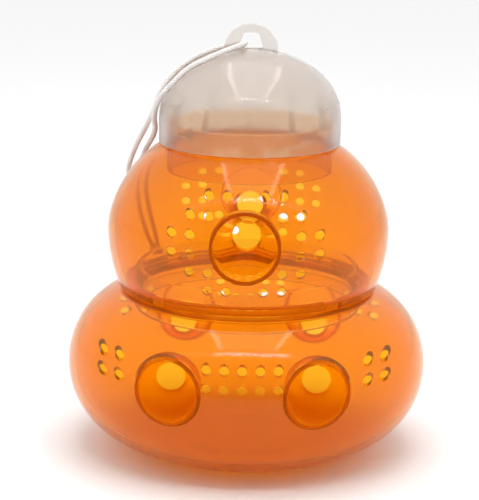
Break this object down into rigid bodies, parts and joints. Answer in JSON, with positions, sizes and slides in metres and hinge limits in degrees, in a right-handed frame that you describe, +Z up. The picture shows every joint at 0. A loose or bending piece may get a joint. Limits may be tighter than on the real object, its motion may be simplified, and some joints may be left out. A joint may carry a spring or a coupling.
{
  "type": "hanging insect trap",
  "caption": "Gourd-shaped hanging wasp and fruit-fly trap: clear orange stacked chambers with entry funnels and air holes, frosted twist-off lid with a ring, and a hanging cord.",
  "frame": {"origin": "centre of the base on the resting surface", "axes": "+Z up along the trap's axis, the front funnels face -Y, +X to the right seen from the front"},
  "size_m": [0.15, 0.15, 0.1783],
  "materials": {
    "chamber_plastic": "clear orange injection-moulded plastic",
    "funnel_plastic": "clear orange injection-moulded plastic",
    "ring_plastic": "clear orange injection-moulded plastic",
    "lid_plastic": "frosted natural polypropylene",
    "cord_fibre": "twisted off-white twine"
  },
  "bodies": {
    "lower_chamber": {"lower_front_shell": "chamber_plastic", "lower_back_shell": "chamber_plastic", "waist_collar": "ring_plastic", "lower_front_left_funnel": "funnel_plastic", "lower_front_right_funnel": "funnel_plastic", "lower_back_left_funnel": "funnel_plastic", "lower_back_right_funnel": "funnel_plastic"},
    "upper_chamber": {"upper_front_shell": "chamber_plastic", "upper_back_shell": "chamber_plastic", "neck_ring": "ring_plastic", "upper_front_funnel": "funnel_plastic", "upper_back_funnel": "funnel_plastic"},
    "lid": {"lid": "lid_plastic", "hanging_cord": "cord_fibre", "cord_knot": "cord_fibre"}
  },
  "joints": [
    {"name": "chamber_twist", "type": "hinge", "parent": "lower_chamber", "child": "upper_chamber", "pos_m": [0, 0, 0.069], "axis": [0, 0, 1], "range_deg": [0, 30]},
    {"name": "lid_twist", "type": "hinge", "parent": "upper_chamber", "child": "lid", "pos_m": [0, 0, 0.1335], "axis": [0, 0, 1], "range_deg": [0, 40]}
  ]
}
